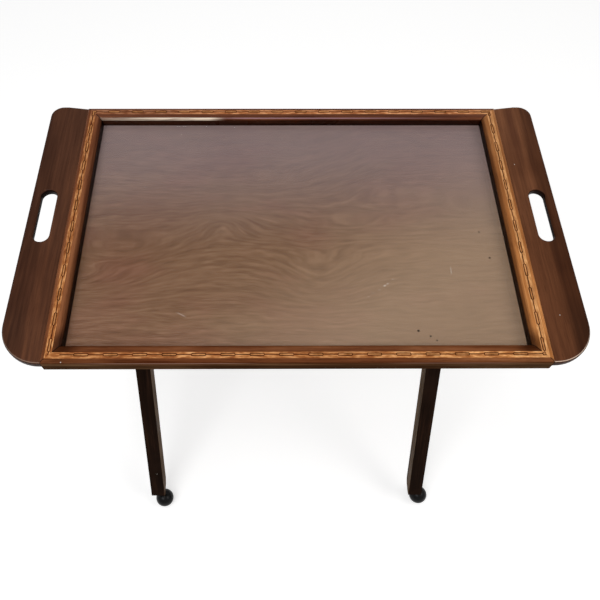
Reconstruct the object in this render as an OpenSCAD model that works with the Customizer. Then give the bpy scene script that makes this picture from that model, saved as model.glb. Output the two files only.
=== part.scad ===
// Folding tray table on ball castors: an inlaid tray hinged to a scissor stand.
// Millimetres, +Z up, +X to the right, +Y to the rear. The origin is on the floor, under the
// middle of the tray. The table stands open, with its inner rail against the stop blocks.

/* [Whole table] */
// Height of the tray's top face above the floor
table_h = 726; // [640:0.5:800]
// Angle between a leg and the floor when the stand is open
leg_lean = 57.4; // [52:0.1:62]

/* [Tray frame] */
// Outer width of the moulded frame, handles not counted
frame_w = 640; // [560:1:760]
// Outer depth of the moulded frame
frame_d = 434; // [400:1:500]
// Width of the moulding seen from above
rail_w = 24; // [22:0.5:32]
// Height of the moulding
rail_h = 22; // [20:0.5:30]
// Rounding of the moulding's outer top edge
rail_outer_r = 4; // [1:0.5:4]
// Rounding of the moulding's inner top edge
rail_inner_r = 4.5; // [2:0.5:7]
// How far the panel reaches under the moulding
rebate_w = 6; // [3:0.5:7]

/* [Banding] */
// Width of the light banding let into the moulding
band_w = 8.6; // [6:0.5:12]
// Distance from the moulding's outer edge to the banding
band_inset = 5.5; // [5:0.1:6]
// Thickness of the banding
band_t = 1.2; // [0.8:0.1:2]
// Depth of the banding's top below the top of the rails
band_sink = 0.1; // [0:0.05:0.3]

/* [Panel and glass] */
// Thickness of the veneered panel
panel_t = 6; // [4:0.5:7]
// Thickness of the loose glass pane
glass_t = 3; // [2:0.5:5]
// Gap between the pane's edge and the moulding
glass_gap = 1; // [0.5:0.1:2]

/* [Handle boards] */
// How far a handle board stands out from the frame
board_reach = 59; // [57:0.5:80]
// Thickness of a handle board
board_t = 12; // [9:0.5:13]
// Depth of the board's top face below the moulding's top
board_drop = 6.5; // [4:0.5:7]
// Distance from the frame's front face back to the board's front edge
board_setback = 1.5; // [0:0.5:8]
// How far the board's rear edge stands out behind the frame
board_overhang = 9; // [4:0.5:12]
// How much the rear edge falls back again where it meets the frame
board_rise = 4.5; // [1:0.5:6]
// Distance from the board's outer edge to where its rear edge reaches furthest back
board_crest = 26; // [24:1:30]
// Corner radius at the front
board_front_r = 55; // [30:1:56]
// Corner radius at the rear
board_rear_r = 19; // [12:1:24]
// Rounding of the board's edges
board_edge_r = 3; // [1:0.5:4]
// Length of the tongue that joins a board to the frame
tongue_l = 400; // [300:5:410]
// Thickness of the tongue
tongue_t = 4; // [3:0.5:5]
// How deep the tongue goes into the frame
tongue_reach = 5; // [3:0.5:7]

/* [Hand slots] */
// Length of a hand slot
slot_l = 89; // [70:1:120]
// Width of a hand slot
slot_w = 22.4; // [20:0.2:26]
// Distance from the slot's middle to the board's outer edge
slot_rim = 24.3; // [22:0.1:30]
// Distance of the slot's middle behind the tray's middle
slot_back = 13.5; // [-40:0.5:40]
// Rounding of the slot's edges
slot_edge_r = 4; // [1:0.5:4.5]

/* [Legs] */
// Width of a leg along X
leg_w = 28.5; // [24:0.5:34]
// Depth of a leg across its slope
leg_d = 28.5; // [24:0.5:34]
// Distance between the middles of the two outer legs
leg_spacing = 557; // [500:1:570]
// Distance from the tray frame's rear face to the legs' hinge axis
hinge_inset = 32.4; // [28:0.1:50]
// Gap between an outer leg and the inner leg beside it
leg_gap = 2; // [1.5:0.1:4]

/* [Cross rails] */
// Width of a flat cross rail, along the legs
cross_w = 28; // [20:1:40]
// Thickness of a flat cross rail
cross_t = 16; // [12:0.5:20]
// Distance from the hinge axis down the leg to the outer frame's top rail
top_rail_drop = 50; // [40:1:70]
// Distance from the scissor pivot up the leg to the outer frame's stretcher
stretcher_up = 200; // [180:1:220]
// Distance from a leg's end up the leg to the inner frame's stretcher
stretcher_rise = 124; // [90:1:200]
// Length of a tenon
tenon_l = 16; // [8:0.5:20]
// Thickness of a tenon
tenon_t = 9; // [6:0.5:11]
// Shoulder left at each end of a tenon's width
tenon_shoulder = 4; // [2:0.5:6]
// Diameter of the round spigots on the inner frame's top rail
spigot_d = 16; // [10:0.5:20]

/* [Pivots] */
// Diameter of the pivot bolts
bolt_d = 8; // [6:0.5:10]
// Diameter of a bolt's domed head
bolt_head_d = 18; // [14:0.5:22]
// Height of a bolt's domed head
bolt_head_h = 5; // [3:0.5:7]
// Diameter of a washer
washer_d = 20; // [16:0.5:24]
// Diameter of a cap nut
nut_d = 17; // [16:0.5:20]
// Height of a cap nut
nut_h = 9; // [8:0.5:12]
// Depth of the blind hole in a cap nut
nut_hole = 5.5; // [4:0.5:6]

/* [Hinge blocks and stops] */
// Width of a hinge block along X
block_w = 22; // [16:0.5:26]
// Length of a hinge block in front of the hinge axis
block_front = 25; // [18:1:30]
// Wood left under the bolt in a hinge block
block_under = 14; // [10:0.5:20]
// How deep a hinge bolt goes into its block
bolt_reach = 17; // [10:0.5:20]
// X of the left stop block's middle
stop_left_x = -160; // [-220:1:-60]
// X of the right stop block's middle
stop_right_x = 130; // [60:1:220]
// Width of a stop block
stop_w = 15; // [10:0.5:24]
// Thickness of a stop block, front to back
stop_t = 12.5; // [8:0.5:14]
// Height of a stop block
stop_h = 12; // [10:0.5:20]
// Diameter of a wood screw's head
screw_head_d = 7; // [5:0.5:8]
// Diameter of a wood screw's shank
screw_d = 3.5; // [2.5:0.5:5]
// How deep the screws go into the frame
screw_bite = 11; // [6:0.5:14]

/* [Castors] */
// Diameter of the castor ball
ball_d = 38; // [30:0.5:45]
// Distance from the swivel axis to the ball's middle
trail = 16; // [12:0.5:18]
// Height of the ball's middle below the leg's end
ball_drop = 29.2; // [26:0.1:34]
// Slope of the wheel's axle below level
axle_slope = 45; // [35:1:55]
// Diameter of the stem
stem_d = 8; // [6:0.5:9]
// Length of the stem inside the leg
stem_l = 15; // [12:0.5:18]
// Wall of the socket around the stem
socket_wall = 1.3; // [1:0.1:2]
// Diameter of the socket's flange
flange_d = 20; // [16:0.5:24]
// Thickness of the socket's flange
flange_t = 2; // [1:0.25:2.5]
// Diameter of the hood's boss around the stem
boss_d = 13; // [12:0.5:15]
// Wall of the hood's shell
hood_wall = 2.2; // [1.5:0.1:3]
// Wall of the wheel's dome
wheel_wall = 3.5; // [2.5:0.1:5]
// Diameter of the wheel's axle
axle_d = 4; // [3:0.5:5]
// Diameter of the hubs around the axle
hub_d = 10; // [8:0.5:12]
// Gap between the hood and the wheel
split_gap = 0.8; // [0.5:0.1:1.5]
// Heading of each trailing ball: front left, front right, rear left, rear right
headings = [-54, -30, 54, 30]; // [-180:1:180]

/* [Hidden] */
$fn = 64;

// Named clearances
slide_gap = 0.3;
face_gap = 0.1;
run_gap = 0.09;
fit_gap = 0.03;
cut = 1;
nut_chamfer = 1;

// Levels
under_z = table_h - rail_h;
hinge_z = under_z - leg_d / 2 - slide_gap;
hinge_y = frame_d / 2 - hinge_inset;
sine = sin(leg_lean);
cosine = cos(leg_lean);
upper_l = hinge_y / cosine;
pivot_z = hinge_z - upper_l * sine;

// The foot is rounded with the leg's own depth as its radius and has a level flat for the castor
foot_r = leg_d;
foot_z = ball_d / 2 + ball_drop;
foot_sag = foot_r - sqrt(foot_r * foot_r - flange_d * flange_d / 4);
round_up = pivot_z + leg_d / 2 * cosine - foot_r - (foot_z - foot_sag);
lower_l = foot_r + round_up / sine;
foot_y = -(round_up / sine) * cosine - leg_d / 2 * sine;

// Places along X
outer_x = leg_spacing / 2;
outer_out_x = outer_x + leg_w / 2;
outer_in_x = outer_x - leg_w / 2;
inner_x = outer_x - leg_w - leg_gap;
inner_out_x = inner_x + leg_w / 2;
inner_in_x = inner_x - leg_w / 2;
block_x = outer_in_x - leg_gap;

// Hinge blocks and stops: the stops stand just in front of the round rail
block_z = hinge_z - block_under;
block_screw_y = frame_d / 2 - (rail_w - rebate_w) / 2;
stop_y = -hinge_y - leg_d / 2 - slide_gap - stop_t;

// Panel and glass
sight_w = frame_w - 2 * rail_w;
sight_d = frame_d - 2 * rail_w;

// Handle boards
board_z = table_h - board_drop - board_t;
tongue_z = board_z + (board_t - tongue_t) / 2;
slot_x = frame_w / 2 + board_reach - slot_rim;

// Castors
ball_r = ball_d / 2;
socket_d = stem_d + 2 * (run_gap + socket_wall);
boss_top = foot_z - flange_t - slide_gap;
stem_z = ball_r + stem_d / 2 + 2 * hood_wall;
axle_foot = 2 * hood_wall - ball_r;
axle_top = ball_r - 2 * wheel_wall - slide_gap;

function arc(x, y, r, a0, a1, n) =
    [for (i = [0 : n]) [x + r * cos(a0 + (a1 - a0) * i / n), y + r * sin(a0 + (a1 - a0) * i / n)]];

// ---------- tray frame ----------

// Section of the moulding: u inward from the outer face, v up from the underside
module moulding_section() {
    difference() {
        union() {
            translate([0, 0]) square([rail_w, rail_h - rail_inner_r]);
            translate([rail_outer_r, 0]) square([rail_w - rail_outer_r - rail_inner_r, rail_h]);
            translate([rail_w - rail_inner_r, rail_h - rail_inner_r]) circle(rail_inner_r);
            translate([rail_outer_r, rail_h - rail_outer_r]) circle(rail_outer_r);
            square([rail_outer_r * 2, rail_h - rail_outer_r]);
        }
        translate([rail_w - rebate_w, -cut]) square([rebate_w + cut, panel_t + cut]);
    }
}

// Plan of a mitred strip that starts at inset from the outer face and is strip_w wide
module mitred_plan(len, off, inset, strip_w) {
    a = len / 2 - inset;
    b = a - strip_w;
    polygon([[-a, -off + inset], [a, -off + inset], [b, -off + inset + strip_w],
             [-b, -off + inset + strip_w]]);
}

module band_strip(len, off) {
    translate([0, 0, table_h - band_t]) linear_extrude(band_t - band_sink)
        mitred_plan(len, off, band_inset, band_w);
}

// One side of the frame, as the front one lies: its outer face at y = -off
module moulding(len, off) {
    difference() {
        intersection() {
            translate([-len / 2, -off, under_z]) rotate([90, 0, 90]) linear_extrude(len) moulding_section();
            translate([0, 0, under_z - cut]) linear_extrude(rail_h + 2 * cut)
                mitred_plan(len, off, 0, rail_w);
        }
        translate([0, 0, table_h - band_t]) linear_extrude(band_t + cut)
            mitred_plan(len, off, band_inset, band_w);
    }
}

// A side rail also has the stopped groove for the handle board's tongue
module side_moulding() {
    difference() {
        moulding(frame_d, frame_w / 2);
        translate([-tongue_l / 2, -frame_w / 2 - cut, tongue_z])
            cube([tongue_l, tongue_reach + cut, tongue_t]);
    }
}

module front_rail() {
    color("#6b4428") difference() {
        moulding(frame_w, frame_d / 2);
        stop_screw_set(fit_gap);
    }
}

module rear_rail() {
    color("#6b4428") difference() {
        rotate([0, 0, 180]) moulding(frame_w, frame_d / 2);
        block_screw_set(fit_gap);
    }
}

module left_rail() {
    color("#6b4428") rotate([0, 0, -90]) side_moulding();
}

module right_rail() {
    color("#6b4428") rotate([0, 0, 90]) side_moulding();
}

module front_band() {
    color("#c9985c") band_strip(frame_w, frame_d / 2);
}

module rear_band() {
    color("#c9985c") rotate([0, 0, 180]) band_strip(frame_w, frame_d / 2);
}

module left_band() {
    color("#c9985c") rotate([0, 0, -90]) band_strip(frame_d, frame_w / 2);
}

module right_band() {
    color("#c9985c") rotate([0, 0, 90]) band_strip(frame_d, frame_w / 2);
}

module panel() {
    panel_w = sight_w + 2 * rebate_w;
    panel_d = sight_d + 2 * rebate_w;
    color("#8a6a5c") translate([-panel_w / 2, -panel_d / 2, under_z]) cube([panel_w, panel_d, panel_t]);
}

module glass_pane() {
    glass_w = sight_w - 2 * glass_gap;
    glass_d = sight_d - 2 * glass_gap;
    color("#cfd6d4", 0.35) translate([-glass_w / 2, -glass_d / 2, under_z + panel_t])
        cube([glass_w, glass_d, glass_t]);
}

// ---------- handle boards ----------

// Outline of the right board, drawn in by inset on its free edges
function board_outline(inset) =
    let (x1 = frame_w / 2 + board_reach - inset)
    let (front = -frame_d / 2 + board_setback + inset)
    let (rear = frame_d / 2 + board_overhang - inset)
    let (rf = board_front_r - inset)
    let (rr = board_rear_r - inset)
    concat([[frame_w / 2, rear - board_rise], [frame_w / 2, front]],
           arc(x1 - rf, front + rf, rf, -90, 0, 16),
           arc(x1 - rr, rear - rr, rr, 0, 90, 8),
           [[frame_w / 2 + board_reach - board_crest, rear]]);

// The board's edges are rounded by a stack of outlines, each drawn in a little more
module board_blank() {
    steps = 4;
    skin = 0.01;
    hull() {
        for (i = [0 : steps]) {
            a = 90 * i / steps;
            inset = board_edge_r * (1 - cos(a));
            rise = board_edge_r * (1 - sin(a));
            translate([0, 0, rise]) linear_extrude(skin) polygon(board_outline(inset));
            translate([0, 0, board_t - rise - skin]) linear_extrude(skin) polygon(board_outline(inset));
        }
    }
}

// Half section of the hand slot: a straight wall that flares at the top and the bottom
module slot_section() {
    half = slot_w / 2;
    r = slot_edge_r;
    difference() {
        translate([0, -cut]) square([half + r, board_t + 2 * cut]);
        translate([half + r, r]) circle(r);
        translate([half + r, board_t - r]) circle(r);
        translate([half, r]) square([r + cut, board_t - 2 * r]);
    }
}

module hand_slot_cutter() {
    run = slot_l - slot_w;
    for (end = [-1, 1]) translate([0, end * run / 2, 0]) rotate_extrude() slot_section();
    for (side = [0, 1]) mirror([side, 0, 0]) translate([0, run / 2, 0]) rotate([90, 0, 0])
        linear_extrude(run) slot_section();
}

module handle_board() {
    difference() {
        translate([0, 0, board_z]) board_blank();
        translate([slot_x, slot_back, board_z]) hand_slot_cutter();
    }
    translate([frame_w / 2 - tongue_reach, -tongue_l / 2, tongue_z])
        cube([tongue_reach + cut, tongue_l, tongue_t]);
}

module right_handle_board() {
    color("#5a3826") handle_board();
}

module left_handle_board() {
    color("#5a3826") mirror([1, 0, 0]) handle_board();
}

// ---------- stand: shared parts ----------

// Places children in the leaning outer frame: z up along the legs from the pivot, y across them
module outer_place() {
    translate([0, 0, pivot_z]) rotate([leg_lean - 90, 0, 0]) children();
}

module inner_place() {
    mirror([0, 1, 0]) outer_place() children();
}

// Side view of a leg: a rounded top round the hinge axis and a foot rounded off at the back
module leg_section() {
    translate([-leg_d / 2, foot_r - lower_l]) square([leg_d, upper_l + lower_l - foot_r]);
    translate([0, upper_l]) circle(leg_d / 2);
    intersection() {
        translate([-leg_d / 2, foot_r - lower_l]) circle(foot_r);
        translate([-leg_d / 2, -lower_l]) square([leg_d, foot_r + cut]);
    }
}

module leg_blank(x) {
    translate([x - leg_w / 2, 0, 0]) rotate([90, 0, 90]) linear_extrude(leg_w) leg_section();
}

// Cylinder along X from x0 to x1
module rod_x(x0, x1, d) {
    translate([x0, 0, 0]) rotate([0, 90, 0]) cylinder(h = x1 - x0, d = d);
}

// Cuts the level flat and the socket's hole in a front foot at x
module foot_cutter(x) {
    translate([x - leg_w, foot_y - 2 * leg_d, foot_z - foot_r]) cube([2 * leg_w, 4 * leg_d, foot_r]);
    translate([x, foot_y, foot_z - cut]) cylinder(h = stem_l + cut, d = socket_d);
}

// A flat cross rail between legs whose inner faces are at x = +-reach, with its tenons
module cross_rail(reach) {
    translate([-reach, -cross_t / 2, -cross_w / 2]) cube([2 * reach, cross_t, cross_w]);
    tenon_w = cross_w - 2 * tenon_shoulder;
    translate([-reach - tenon_l, -tenon_t / 2, -tenon_w / 2]) cube([2 * (reach + tenon_l), tenon_t, tenon_w]);
}

// ---------- outer frame ----------

module outer_leg(side) {
    difference() {
        outer_place() difference() {
            leg_blank(side * outer_x);
            for (z = [0, upper_l]) translate([side * outer_x, 0, z])
                rod_x(-leg_w, leg_w, bolt_d + 2 * run_gap);
            translate([0, 0, upper_l - top_rail_drop]) cross_rail(outer_in_x);
            translate([0, 0, stretcher_up]) cross_rail(outer_in_x);
        }
        foot_cutter(side * outer_x);
    }
}

module outer_left_leg() {
    color("#33211a") outer_leg(-1);
}

module outer_right_leg() {
    color("#33211a") outer_leg(1);
}

module outer_top_rail() {
    color("#3a261d") outer_place() translate([0, 0, upper_l - top_rail_drop]) cross_rail(outer_in_x);
}

module outer_stretcher() {
    color("#3a261d") outer_place() translate([0, 0, stretcher_up]) cross_rail(outer_in_x);
}

// ---------- inner frame ----------

module inner_leg(side) {
    difference() {
        inner_place() difference() {
            leg_blank(side * inner_x);
            translate([side * inner_x, 0, 0]) rod_x(-leg_w, leg_w, bolt_d + 2 * run_gap);
            translate([0, 0, upper_l]) rod_x(-inner_in_x - tenon_l, inner_in_x + tenon_l, spigot_d);
            translate([0, 0, stretcher_rise - lower_l]) cross_rail(inner_in_x);
        }
        mirror([0, 1, 0]) foot_cutter(side * inner_x);
    }
}

module inner_left_leg() {
    color("#33211a") inner_leg(-1);
}

module inner_right_leg() {
    color("#33211a") inner_leg(1);
}

// Round rail that carries the tray's front and slides under it as the stand folds
module inner_top_rail() {
    color("#3a261d") inner_place() translate([0, 0, upper_l]) {
        rod_x(-inner_in_x, inner_in_x, leg_d);
        rod_x(-inner_in_x - tenon_l, inner_in_x + tenon_l, spigot_d);
    }
}

module inner_stretcher() {
    color("#3a261d") inner_place() translate([0, 0, stretcher_rise - lower_l]) cross_rail(inner_in_x);
}

// ---------- pivots ----------

// Domed head that stands out along +X from x = 0
module dome_head(d, h) {
    dome_r = (d * d / 4 + h * h) / (2 * h);
    intersection() {
        translate([h - dome_r, 0, 0]) sphere(dome_r);
        rod_x(0, h + cut, d);
    }
}

// Bolt with its head outside x_head and its end at x_end
module bolt(x_head, x_end) {
    translate([x_head, 0, 0]) dome_head(bolt_head_d, bolt_head_h);
    rod_x(x_end, x_head, bolt_d);
}

module washer(x0, t) {
    difference() {
        rod_x(x0, x0 + t, washer_d);
        rod_x(x0 - cut, x0 + t + cut, bolt_d + 2 * face_gap);
    }
}

module pivot_bolts() {
    color("#b9a06a") for (side = [0, 1]) mirror([side, 0, 0]) translate([0, 0, pivot_z])
        bolt(outer_out_x, inner_in_x - face_gap - nut_hole);
}

module pivot_washers() {
    color("#9a9a98") for (side = [0, 1]) mirror([side, 0, 0]) translate([0, 0, pivot_z])
        washer(inner_out_x + face_gap, leg_gap - 2 * face_gap);
}

// Cap nut towards -X from x = 0, with a blind hole for the bolt
module cap_nut() {
    difference() {
        intersection() {
            translate([nut_d / 2 - nut_h, 0, 0]) sphere(nut_d / 2);
            rod_x(-nut_h, 0, nut_d - nut_chamfer);
        }
        rod_x(-nut_hole, cut, bolt_d);
    }
}

module pivot_nuts() {
    color("#b9a06a") for (side = [0, 1]) mirror([side, 0, 0])
        translate([inner_in_x - face_gap, 0, pivot_z]) cap_nut();
}

// ---------- hinge blocks, stops and their screws ----------

module hinge_axis_place() {
    translate([0, hinge_y, hinge_z]) children();
}

module hinge_block() {
    difference() {
        translate([block_x - block_w, hinge_y - block_front, block_z])
            cube([block_w, block_screw_y - hinge_y + block_front + screw_head_d, under_z - block_z]);
        hinge_axis_place() rod_x(block_x - bolt_reach, block_x + cut, bolt_d);
    }
}

// Countersunk screw driven upwards from z = 0
module screw(len, gap) {
    cylinder(h = (screw_head_d - screw_d) / 2, d1 = screw_head_d + 2 * gap, d2 = screw_d + 2 * gap);
    cylinder(h = len, d = screw_d + 2 * gap);
}

// All the screws of the hinge blocks, side by side under the solid part of the rear rail
module block_screw_set(gap) {
    for (side = [-1, 1], step = [1, 3])
        translate([side * (block_x - block_w * step / 4), block_screw_y, block_z])
            screw(under_z - block_z + screw_bite, gap);
}

module stop_screw_set(gap) {
    for (x = [stop_left_x, stop_right_x]) translate([x, stop_y + stop_t / 2, under_z - stop_h])
        screw(stop_h + screw_bite, gap);
}

module hinge_blocks() {
    color("#3a261d") difference() {
        for (side = [0, 1]) mirror([side, 0, 0]) hinge_block();
        block_screw_set(fit_gap);
    }
}

module hinge_bolts() {
    color("#b9a06a") for (side = [0, 1]) mirror([side, 0, 0]) hinge_axis_place()
        bolt(outer_out_x + face_gap, block_x - bolt_reach);
}

module hinge_washers() {
    color("#9a9a98") for (side = [0, 1]) mirror([side, 0, 0]) hinge_axis_place()
        washer(block_x, leg_gap - face_gap);
}

module block_screws() {
    color("#9a9a98") block_screw_set(0);
}

module stop_blocks() {
    color("#2a1b15") difference() {
        for (x = [stop_left_x, stop_right_x]) translate([x - stop_w / 2, stop_y, under_z - stop_h])
            cube([stop_w, stop_t, stop_h]);
        stop_screw_set(fit_gap);
    }
}

module stop_screws() {
    color("#9a9a98") stop_screw_set(0);
}

// ---------- castors ----------

// Castors 0 and 1 are under the outer frame, 2 and 3 under the inner one
function castor_x(i) = (i % 2 == 0 ? -1 : 1) * (i < 2 ? outer_x : inner_x);
function castor_y(i) = (i < 2 ? 1 : -1) * foot_y;

module socket(i) {
    difference() {
        translate([castor_x(i), castor_y(i), 0]) {
            translate([0, 0, foot_z - flange_t]) cylinder(h = flange_t, d = flange_d);
            translate([0, 0, foot_z - flange_t]) cylinder(h = flange_t + stem_l, d = socket_d);
        }
        translate([castor_x(i), castor_y(i), foot_z - flange_t - cut])
            cylinder(h = flange_t + stem_l + 2 * cut, d = stem_d + 2 * run_gap);
    }
}

module front_sockets() {
    color("#8d8f90") for (i = [0, 1]) socket(i);
}

module rear_sockets() {
    color("#8d8f90") for (i = [2, 3]) socket(i);
}

// Places children at castor i, turned so that the ball trails along +X from the stem
module castor_place(i) {
    translate([castor_x(i), castor_y(i), 0]) rotate([0, 0, headings[i]]) children();
}

// Places children at the ball's middle, with +Z along the axle towards the wheel's dome
module axle_place(i) {
    castor_place(i) translate([trail, 0, ball_r]) rotate([-90 - axle_slope, 0, 0]) children();
}

module half_ball(r) {
    intersection() {
        sphere(r);
        translate([-r, -r, 0]) cube([2 * r, 2 * r, r]);
    }
}

// Everything on the wheel's side of the split between hood and wheel, out to radius r
module wheel_side(r) {
    translate([0, 0, -split_gap / 2]) cylinder(h = r, r = r);
}

// Shell over the wheel, with the boss that holds the stem and the hub that holds the axle
module hood(i) {
    difference() {
        union() {
            axle_place(i) mirror([0, 0, 1]) half_ball(ball_r);
            castor_place(i) translate([0, 0, ball_r]) cylinder(h = boss_top - ball_r, d = boss_d);
        }
        difference() {
            axle_place(i) mirror([0, 0, 1]) half_ball(ball_r - hood_wall);
            axle_place(i) mirror([0, 0, 1]) cylinder(h = ball_r, d = hub_d);
            castor_place(i) cylinder(h = boss_top, d = boss_d);
        }
        axle_place(i) wheel_side(2 * ball_r);
        axle_place(i) translate([0, 0, axle_foot]) cylinder(h = ball_r, d = axle_d + 2 * fit_gap);
        castor_place(i) translate([0, 0, stem_z]) cylinder(h = ball_d, d = stem_d + 2 * fit_gap);
    }
}

module stem(i) {
    castor_place(i) translate([0, 0, stem_z])
        cylinder(h = foot_z + stem_l - face_gap - stem_z, d = stem_d);
}

// Half-round wheel: a dome with a hub inside, blind so that the axle doesn't show
module wheel(i) {
    axle_place(i) difference() {
        half_ball(ball_r);
        cylinder(h = split_gap, r = ball_d, center = true);
        difference() {
            half_ball(ball_r - wheel_wall);
            cylinder(h = ball_r, d = hub_d);
        }
        translate([0, 0, -cut]) cylinder(h = axle_top + slide_gap + cut, d = axle_d + 2 * run_gap);
    }
}

module axle(i) {
    axle_place(i) translate([0, 0, axle_foot]) cylinder(h = axle_top - axle_foot, d = axle_d);
}

module castor_part(kind, i) {
    if (kind == "hood") color("#1b1a1c") hood(i);
    if (kind == "stem") color("#8d8f90") stem(i);
    if (kind == "axle") color("#8d8f90") axle(i);
    if (kind == "wheel") color("#141316") wheel(i);
}

front_rail();
rear_rail();
left_rail();
right_rail();
front_band();
rear_band();
left_band();
right_band();
panel();
glass_pane();
left_handle_board();
right_handle_board();
hinge_blocks();
hinge_bolts();
hinge_washers();
block_screws();
stop_blocks();
stop_screws();
outer_left_leg();
outer_right_leg();
outer_top_rail();
outer_stretcher();
inner_left_leg();
inner_right_leg();
inner_top_rail();
inner_stretcher();
pivot_bolts();
pivot_washers();
pivot_nuts();
front_sockets();
rear_sockets();
castor_part("hood", 0);  // front_left_hood
castor_part("stem", 0);  // front_left_stem
castor_part("axle", 0);  // front_left_axle
castor_part("wheel", 0);  // front_left_wheel
castor_part("hood", 1);  // front_right_hood
castor_part("stem", 1);  // front_right_stem
castor_part("axle", 1);  // front_right_axle
castor_part("wheel", 1);  // front_right_wheel
castor_part("hood", 2);  // rear_left_hood
castor_part("stem", 2);  // rear_left_stem
castor_part("axle", 2);  // rear_left_axle
castor_part("wheel", 2);  // rear_left_wheel
castor_part("hood", 3);  // rear_right_hood
castor_part("stem", 3);  // rear_right_stem
castor_part("axle", 3);  // rear_right_axle
castor_part("wheel", 3);  // rear_right_wheel
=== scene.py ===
import math

import bmesh
import bpy
from mathutils import Matrix, Vector
from mathutils.bvhtree import BVHTree


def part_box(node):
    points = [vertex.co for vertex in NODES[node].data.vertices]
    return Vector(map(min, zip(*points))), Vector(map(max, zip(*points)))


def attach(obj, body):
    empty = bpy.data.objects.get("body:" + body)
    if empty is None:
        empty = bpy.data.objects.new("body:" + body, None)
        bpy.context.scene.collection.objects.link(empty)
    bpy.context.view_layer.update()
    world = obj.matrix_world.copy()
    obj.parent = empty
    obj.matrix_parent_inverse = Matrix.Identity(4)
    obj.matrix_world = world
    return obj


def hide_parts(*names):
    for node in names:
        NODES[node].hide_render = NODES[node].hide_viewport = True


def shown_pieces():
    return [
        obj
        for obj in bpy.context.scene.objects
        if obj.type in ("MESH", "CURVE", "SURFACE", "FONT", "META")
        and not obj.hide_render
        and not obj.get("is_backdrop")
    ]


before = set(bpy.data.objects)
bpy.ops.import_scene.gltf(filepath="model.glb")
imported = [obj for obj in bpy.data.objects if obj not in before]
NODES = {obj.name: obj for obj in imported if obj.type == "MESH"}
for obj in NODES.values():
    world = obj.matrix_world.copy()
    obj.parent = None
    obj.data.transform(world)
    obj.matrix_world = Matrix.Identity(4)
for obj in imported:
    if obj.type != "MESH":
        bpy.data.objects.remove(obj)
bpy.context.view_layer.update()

# ---------------------------------------------------------------- sizes, in metres
MM = 0.001
CASTORS = ("front_left", "front_right", "rear_left", "rear_right")
RAILS = ("front_rail", "rear_rail", "left_rail", "right_rail")
BANDS = ("front_band", "rear_band", "left_band", "right_band")
BOARDS = ("left_handle_board", "right_handle_board")
OUTER_WOOD = ("outer_left_leg", "outer_right_leg", "outer_top_rail", "outer_stretcher")
INNER_WOOD = ("inner_left_leg", "inner_right_leg", "inner_top_rail", "inner_stretcher")

rail_low, rail_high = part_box("front_rail")
FRAME_X = rail_high[0]
FRAME_Y = -rail_low[1]
TRAY_Z = rail_high[2]
BAND_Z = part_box("front_band")[1][2]
BOARD_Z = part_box("left_handle_board")[1][2]
PANEL_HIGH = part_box("panel")[1]
GLASS_LOW, GLASS_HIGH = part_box("glass_pane")
RAIL_FALL = 5.0 * MM
RAIL_WIDTH = 24 * MM
GLASS_LIFT = 0.1 * MM
GLASS_EDGE = 0.5 * MM
FLECK_THICK = 0.12 * MM
LEG_LEAN = math.radians(57.4)
LEG_EASE = 0.8 * MM
BLOCK_EASE = 0.5 * MM
WELD_REACH = 0.01 * MM

# Where the slots are measured, 1.5 mm in front of their middle, and how far their painted shade goes
SLOT_OUTSIDE_X = 372 * MM
SLOT_ROOM_Y = 90 * MM
SLOT_WALL_DROP = 2.2 * MM

# The chain: a period is one link and the bar to the next, an inset is from the frame's edge
CHAIN_PERIOD = 36.5 * MM
CHAIN_LINK = 19.8 * MM
CHAIN_WIDTH = 4.2 * MM
CHAIN_POINT = 1.3 * MM
CHAIN_LINE = 1.2 * MM
CHAIN_DEPTH = 0.3 * MM
CHAIN_HEIGHT = 0.36 * MM
CHAIN_LAP = 0.4 * MM
CHAIN_INSETS = {"front": 10.6 * MM, "rear": 8.9 * MM, "left": 10.0 * MM, "right": 10.8 * MM}
CHAIN_STARTS = {
    "front": 4.7 * MM - CHAIN_PERIOD / 2,
    "rear": -22.4 * MM,
    "left": -10.5 * MM,
    "right": -10.5 * MM,
}
# The front's first link lies beyond this, and the bars run on without one
CHAIN_FIRST = {"front": -300 * MM}

# The stage
FLOOR_REACH = 14.0
FLOOR_GLOW = 0.5
WORLD_LIGHT = 0.45

# ---------------------------------------------------------------- camera
CAMERA_AT = Vector((-0.0323, -0.5192, 1.4318))
CAMERA_DOWN = math.radians(61.078)
CAMERA_YAW = math.radians(-0.609)
CAMERA_ROLL = math.radians(0.433)
CAMERA_LENS = 37.097
SENSOR = 36.0
SHIFT_X = 0.0423
SHIFT_Y = 0.0
W = H = L = 600

# Points of the photograph, in its 600 by 600 frame
IMAGE_POINTS = {
    "object_left": (3.4, 330.0),
    "object_right": (590.0, 332.0),
    "object_top": (67.0, 105.9),
    "object_bottom": (164.9, 506.3),
    "glass_fleck": (181.5, 134.3),
    "glass_fleck_left": (145.0, 187.0),
    "glass_scratch": (181.0, 314.5),
    "glass_scuff": (379.8, 286.2),
    "glass_streak": (451.0, 270.5),
    "rail_fleck": (60.5, 362.4),
    "board_fleck_rear": (514.4, 164.4),
    "board_fleck_front": (560.0, 315.0),
    "leg_fleck": (157.0, 474.0),
    "glass_fleck_right": (373.3, 276.3),
    "left_slot": (45.5, 216.0),
    "right_slot": (541.0, 218.0),
    "left_ball": (164.9, 497.4),
    "right_ball": (419.0, 494.2),
}


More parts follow.
